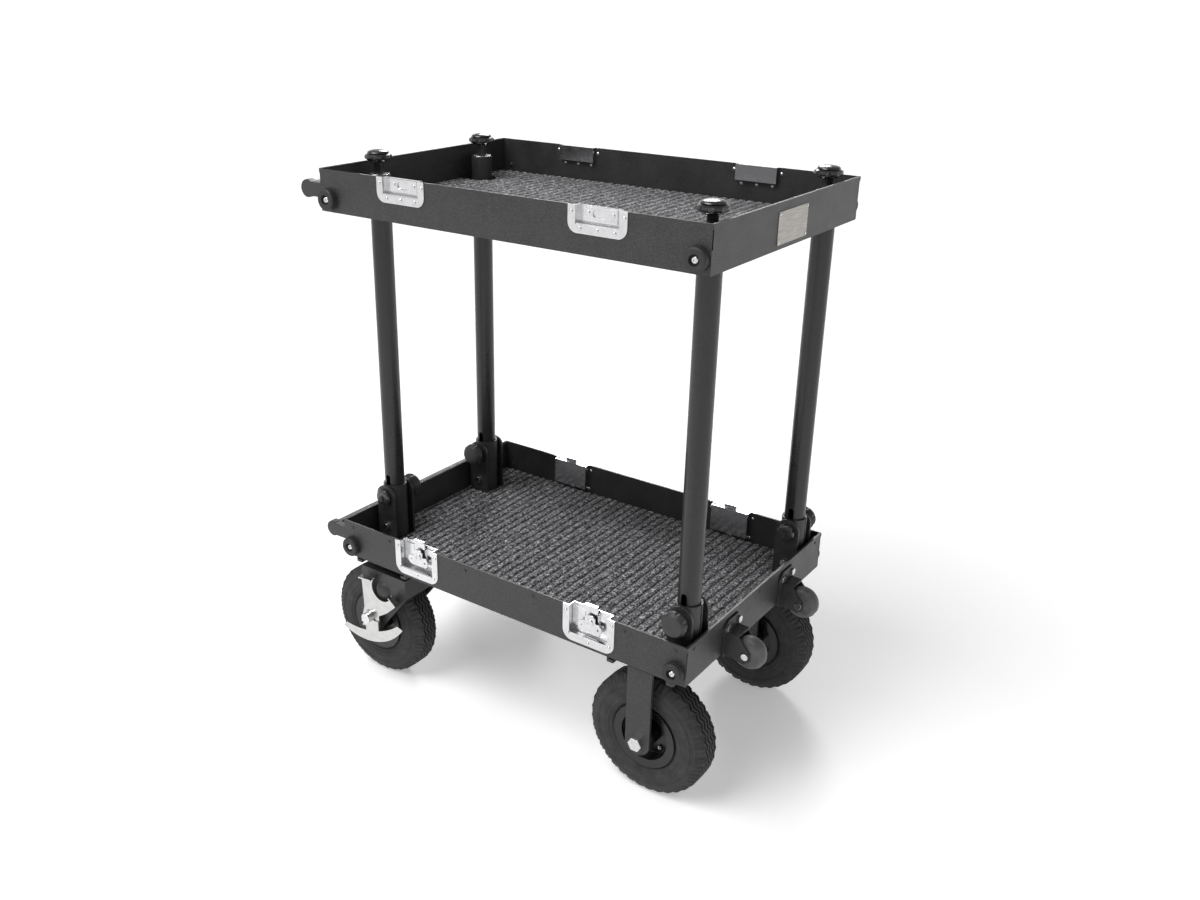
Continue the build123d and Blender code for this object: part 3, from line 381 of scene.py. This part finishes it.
def floor_mat(node, body, cuts, circle=None):
    """A ribbed mat in a CAD mat's place. cuts are (x range, y range) rectangles left out."""
    low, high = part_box(node)
    xs = lines_between(low.x, high.x, RIB_PITCH / RIB_STEPS, [x for cut in cuts for x in cut[0]])
    ys = lines_between(low.y, high.y, MAT_STEP, [y for cut in cuts for y in cut[1]])
    index, points, faces = {}, [], []

    def inside(x, y):
        in_cut = any(a[0] < x < a[1] and b[0] < y < b[1] for a, b in cuts)
        in_ring = circle and any(math.hypot(x - p.x, y - p.y) < circle for p in POSTS.values())
        return in_cut or in_ring

    def corner(i, k, layer):
        key = (i, k, layer)
        if key not in index:
            x, y, z = xs[i], ys[k], low.z
            if circle:
                for post in POSTS.values():
                    reach = math.hypot(x - post.x, y - post.y)
                    if abs(reach - circle) < 0.0022 and abs(x) < abs(post.x):
                        x = post.x + (x - post.x) * circle / reach
                        y = post.y + (y - post.y) * circle / reach
            if layer:
                tufts = noise.noise(Vector((x * 520, y * 260, 3)))
                wild = tufts + 0.6 * noise.noise(Vector((x * 1300, y * 900, 9)))
                stray = RIB_WANDER * noise.noise(Vector((x * 70, y * 95, 5)))
                z = high.z - GROOVE_DEPTH * (1 - rib_height(x + stray)) + PILE * (wild - 0.7)
            index[key] = len(points)
            points.append((x, y, z))
        return index[key]

    solid = {}
    for i in range(len(xs) - 1):
        for k in range(len(ys) - 1):
            solid[i, k] = not inside((xs[i] + xs[i + 1]) / 2, (ys[k] + ys[k + 1]) / 2)
    for (i, k), filled in solid.items():
        if not filled:
            continue
        around = ((i, k), (i + 1, k), (i + 1, k + 1), (i, k + 1))
        faces.append(tuple(corner(a, b, 1) for a, b in around))
        faces.append(tuple(corner(a, b, 0) for a, b in reversed(around)))
        sides = (((i, k - 1), 0, 1), ((i + 1, k), 1, 2), ((i, k + 1), 2, 3), ((i - 1, k), 3, 0))
        for beyond, a, b in sides:
            if not solid.get(beyond):
                one, two = around[a], around[b]
                faces.append((corner(*one, 0), corner(*two, 0), corner(*two, 1), corner(*one, 1)))
    felt = ribbed_felt(node + "_felt", high.z)
    piece = mesh_piece(node + "_ribbed", points, faces, felt, body, 80)
    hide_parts(node)
    return piece, (high.x - low.x, high.y - low.y)


def lower_mat():
    wide, deep = BRACKET_CUT
    cuts = [((p.x - wide, p.x + wide), (p.y - deep, p.y + deep)) for p in POSTS.values()]
    piece, flat = floor_mat("lower_carpet", "lower_deck", cuts)


def upper_mat():
    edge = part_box("upper_carpet")[1].x
    cuts = [(sorted((p.x, math.copysign(edge, p.x))), (p.y - CUP_CUT, p.y + CUP_CUT))
            for p in POSTS.values()]
    piece, flat = floor_mat("upper_carpet", "upper_deck", cuts, CUP_CUT)


# ---- tyres ----
def tread_rows(outer, half):
    """Rows across the tread: (radius, y, zigzag share, lug share)."""
    rows = []
    grooves = [-0.0135, -0.0045, 0.0045, 0.0135]
    shoulder = 0.0185
    for groove in grooves:
        crown = 0.0015 * (groove / half) ** 2
        for offset, depth in ((-0.0036, 0.0), (-0.0019, 0.0), (-0.0013, 1.0), (0.0, 1.08),
                              (0.0013, 1.0), (0.0019, 0.0), (0.0036, 0.0)):
            rows.append((outer - crown - depth * TREAD_DEPTH, groove + offset, 1.0, 0.0))
    edge = [(outer - 0.0008, shoulder, 0.8, 0.0), (outer - 0.0013, shoulder + 0.0012, 0.5, 0.6),
            (outer - 0.0032, shoulder + 0.0040, 0.2, 1.0), (outer - 0.0068, shoulder + 0.0070, 0.0, 1.0),
            (outer - 0.0110, shoulder + 0.0096, 0.0, 0.8), (outer - 0.0140, shoulder + 0.0112, 0.0, 0.0)]
    before = [(r, -y, z, s) for r, y, z, s in reversed(edge)]
    return before + rows + edge


def side_rows(outer, half):
    """Rows down one sidewall to the bead, with moulded rings: (radius, y)."""
    top, rows = outer - 0.016, []
    count = 26
    for i in range(count):
        share = i / (count - 1)
        radius = top + (LIP + 0.002 - top) * share
        bulge = half - 0.0030 * (1 - share) ** 2 * 1.2 - 0.0046 * share ** 3
        for ring, tall in ((0.16, 0.0009), (0.24, 0.0009), (0.55, 0.0007), (0.78, 0.0010)):
            bulge += tall if abs(share - ring) < 0.022 else 0.0
        rows.append((radius, min(bulge, half)))
    return rows + [(LIP - 0.0010, half - 0.0085), (BEAD, half - 0.0100)]


def tyre(name, centre, body):
    """A pneumatic tyre: zigzag ribs on the tread, lugs at the shoulders and rings on the sidewalls."""
    low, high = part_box("tyre_" + name)
    outer, half = (high.z - low.z) / 2, (high.y - low.y) / 2
    side = [(r, y, 0.0, 0.0) for r, y in side_rows(outer, half)]
    rows = [(r, -y, z, s) for r, y, z, s in reversed(side)] + tread_rows(outer, half) + side
    points = []
    for i in range(TURN_STEPS):
        turn = math.tau * i / TURN_STEPS
        wave = 2 * abs(2 * ((i * TREAD_WAVES / TURN_STEPS) % 1) - 1) - 1
        lug = 1.0 if (i * SHOULDER_LUGS / TURN_STEPS) % 1 < 0.5 else 0.0
        for radius, y, zigzag, notch in rows:
            r = radius - LUG_DEPTH * notch * lug
            points.append((centre.x + r * math.cos(turn), centre.y + y + TREAD_SWING * wave * zigzag,
                           centre.z + r * math.sin(turn)))
    look = LOOKS["tyre_rubber"]
    piece = mesh_piece(f"tyre_{name}_treaded", points, ring_faces(TURN_STEPS, len(rows)), look, body,
                       34)
    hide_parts("tyre_" + name)


# ---- lathe-turned trim on the wheels ----
def turned(outline, centre, axis, sides=24):
    """Points and faces of a closed lathe shape. outline is (radius, along) from pole to pole."""
    points, faces = [], []
    basis = Vector(axis).to_track_quat("Z", "Y").to_matrix()
    rows = len(outline)
    for i in range(sides):
        turn = math.tau * i / sides
        for radius, along in outline:
            points.append(centre + basis @ Vector((radius * math.cos(turn), radius * math.sin(turn), along)))
    faces = ring_faces(sides, rows, closed=False)
    faces.append(tuple(i * rows for i in reversed(range(sides))))
    faces.append(tuple(i * rows + rows - 1 for i in range(sides)))
    return points, faces


def join_shapes(shapes):
    points, faces = [], []
    for more, quads in shapes:
        start = len(points)
        points += more
        faces += [tuple(start + i for i in face) for face in quads]
    return points, faces


def nut_outline(across, height):
    r = across / 2
    return [(0.55 * r, 0), (r, 0), (r, 0.72 * height), (0.86 * r, height), (0.55 * r, height),
            (0.50 * r, 0.94 * height), (0.50 * r, 1.35 * height), (0.42 * r, 1.45 * height)]


def wheel_trim(name, centre, body):
    """Rim bolts, both faces, and a valve stem on the outer face."""
    outward = -1 if centre.y < 0 else 1
    shapes = []
    for face in (-1, 1):
        for i in range(RIM_BOLTS):
            turn = math.tau * (i + 0.25) / RIM_BOLTS
            across, up = RIM_BOLT_CIRCLE * math.cos(turn), RIM_BOLT_CIRCLE * math.sin(turn)
            spot = centre + Vector((across, face * RIM_FACE, up))
            shapes.append(turned(nut_outline(0.0095, 0.0045), spot, (0, face, 0), 6))
    points, faces = join_shapes(shapes)
    mesh_piece(f"rim_bolts_{name}", points, faces, LOOKS["zinc"], body, 30)
    along, out, up = VALVE_AT
    stem = centre + Vector((along, outward * out, up))
    outline = [(0.0042, 0), (0.0046, 0.002), (0.0034, 0.004), (0.0028, 0.012), (0.0036, 0.0125),
               (0.0036, 0.020), (0.0030, 0.021)]
    points, faces = turned(outline, stem, (0.25, outward, 0), 16)
    mesh_piece(f"valve_{name}", points, faces, LOOKS["bumper_rubber"], body, 30)


# ---- trim on the decks ----
def rivet_spots(node):
    """A point on each separate rivet of a CAD node."""
    piece, spots = frame["nodes"][node], []
    for vertex in piece.data.vertices:
        point = piece.matrix_world @ vertex.co
        if all((spot[0] - point).length > RIVET_REACH for spot in spots):
            spots.append([point])
        else:
            min(spots, key=lambda spot: (spot[0] - point).length).append(point)
    return [sum(spot, Vector()) / len(spot) for spot in spots]


def inner_rivets(node, tray, carpet, body):
    """The closed ends of a deck's rivets, on the inside of its long walls."""
    wall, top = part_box(tray)[1].y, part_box(carpet)[1].z
    outline = [(0.0034, 0), (0.0034, 0.0006), (0.0027, 0.0014), (0.0012, 0.0019)]
    shapes = []
    for spot in rivet_spots(node):
        side = math.copysign(1, spot.y)
        if wall - abs(spot.y) < 2 * WALL and spot.z > top:
            shapes.append(turned(outline, Vector((spot.x, side * (wall - WALL), spot.z)), (0, -side, 0), 16))
    points, faces = join_shapes(shapes)
    mesh_piece(node + "_inner_ends", points, faces, LOOKS["zinc"], body, 40)


def knob_crown(corner):
    """The domed crown over a top knob's lobed head."""
    low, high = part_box("top_knob_" + corner)
    reach = KNOB_CROWN * (high.x - low.x) / 2
    centre = Vector(((low.x + high.x) / 2, (low.y + high.y) / 2, high.z))
    bends = [math.radians(turn) for turn in (0, 12, 24, 36, 48, 60, 72, 84)]
    outline = [(reach * math.cos(bend), CROWN_RISE * math.sin(bend)) for bend in bends]
    points, faces = turned(outline, centre, (0, 0, 1), 48)
    mesh_piece("knob_crown_" + corner, points, faces, LOOKS["gloss_plastic"], "hand_knob_" + corner,
               40)


# ---- stage ----
def stage():
    corners = [(x * FLOOR_REACH, y * FLOOR_REACH, 0) for x, y in ((-1, -1), (1, -1), (1, 1), (-1, 1))]
    data = bpy.data.meshes.new("floor")
    data.from_pydata(corners, [], [(0, 1, 2, 3)])
    floor = bpy.data.objects.new("floor", data)
    bpy.context.scene.collection.objects.link(floor)
    data.materials.append(pale_floor())


def sun(name, strength, azimuth, height, softness):
    """Soft directional light. azimuth is the side it comes from, measured as the views are."""
    data = bpy.data.lights.new(name, "SUN")
    data.energy = strength
    data.angle = math.radians(softness)
    lamp = bpy.data.objects.new(name, data)
    a, e = math.radians(azimuth), math.radians(height)
    source = Vector((math.sin(a) * math.cos(e), -math.cos(a) * math.cos(e), math.sin(e)))
    lamp.rotation_mode = "QUATERNION"
    lamp.rotation_quaternion = source.to_track_quat("Z", "Y")
    bpy.context.scene.collection.objects.link(lamp)


def softbox(name, power, place_at, aim, width, height):
    data = bpy.data.lights.new(name, "AREA")
    data.shape = "RECTANGLE"
    data.size, data.size_y = width, height
    data.energy = power
    lamp = bpy.data.objects.new(name, data)
    lamp.location = place_at
    lamp.rotation_mode = "QUATERNION"
    lamp.rotation_quaternion = (Vector(aim) - Vector(place_at)).to_track_quat("-Z", "Y")
    bpy.context.scene.collection.objects.link(lamp)


def studio_world():
    """A white horizon under a dark ceiling, so that the metal shows some contrast."""
    world = bpy.data.worlds.new("studio")
    bpy.context.scene.world = world
    world.use_nodes = True
    tree = world.node_tree
    up = add(tree, "ShaderNodeTexCoord").outputs["Generated"]
    height = add(tree, "ShaderNodeSeparateXYZ", {"Vector": up}).outputs["Z"]
    tone = ramp(tree, height, [(0.0, 1.0), (0.05, 1.0), (0.22, 0.50), (0.75, 0.16)])
    back = tree.nodes["Background"]
    tree.links.new(tone, back.inputs["Color"])
    back.inputs["Strength"].default_value = 1.0


def camera():
    """The camera at the photograph's viewing angle."""
    data = bpy.data.cameras.new("camera")
    data.sensor_width = 36.0
    data.lens = LENS
    data.shift_x = LENS_SHIFT
    eye = bpy.data.objects.new("camera", data)
    azimuth, elevation, roll = (math.radians(v) for v in EYE_TURNS)
    back = Vector((math.sin(azimuth) * math.cos(elevation), -math.cos(azimuth) * math.cos(elevation),
                   math.sin(elevation)))
    turn = back.to_track_quat("Z", "Y").to_matrix().to_4x4()
    eye.matrix_world = Matrix.Translation(EYE) @ turn @ Matrix.Rotation(roll, 4, "Z")
    data.clip_end = 1000
    bpy.context.scene.collection.objects.link(eye)
    bpy.context.scene.camera = eye


def lights():
    sun("key", 1.35, 330, 52, 40)
    sun("side", 0.10, 95, 38, 50)
    sun("rim", 1.2, 212, 30, 18)
    softbox("top", 22, (-0.6, -1.1, 2.6), (0, 0, 0.8), 1.6, 1.0)


camera()
studio_world()
lights()
stage()
finish_cad()
lower_mat()
upper_mat()
for wheel, hub in WHEELS.items():
    tyre(wheel, hub, "wheel_" + wheel)
    wheel_trim(wheel, hub, "wheel_" + wheel)
inner_rivets("upper_rivets", "upper_tray", "upper_carpet", "upper_deck")
inner_rivets("latch_rivets", "lower_tray", "lower_carpet", "lower_deck")
for corner in POSTS:
    knob_crown(corner)
bpy.context.scene.view_settings.view_transform = "Standard"
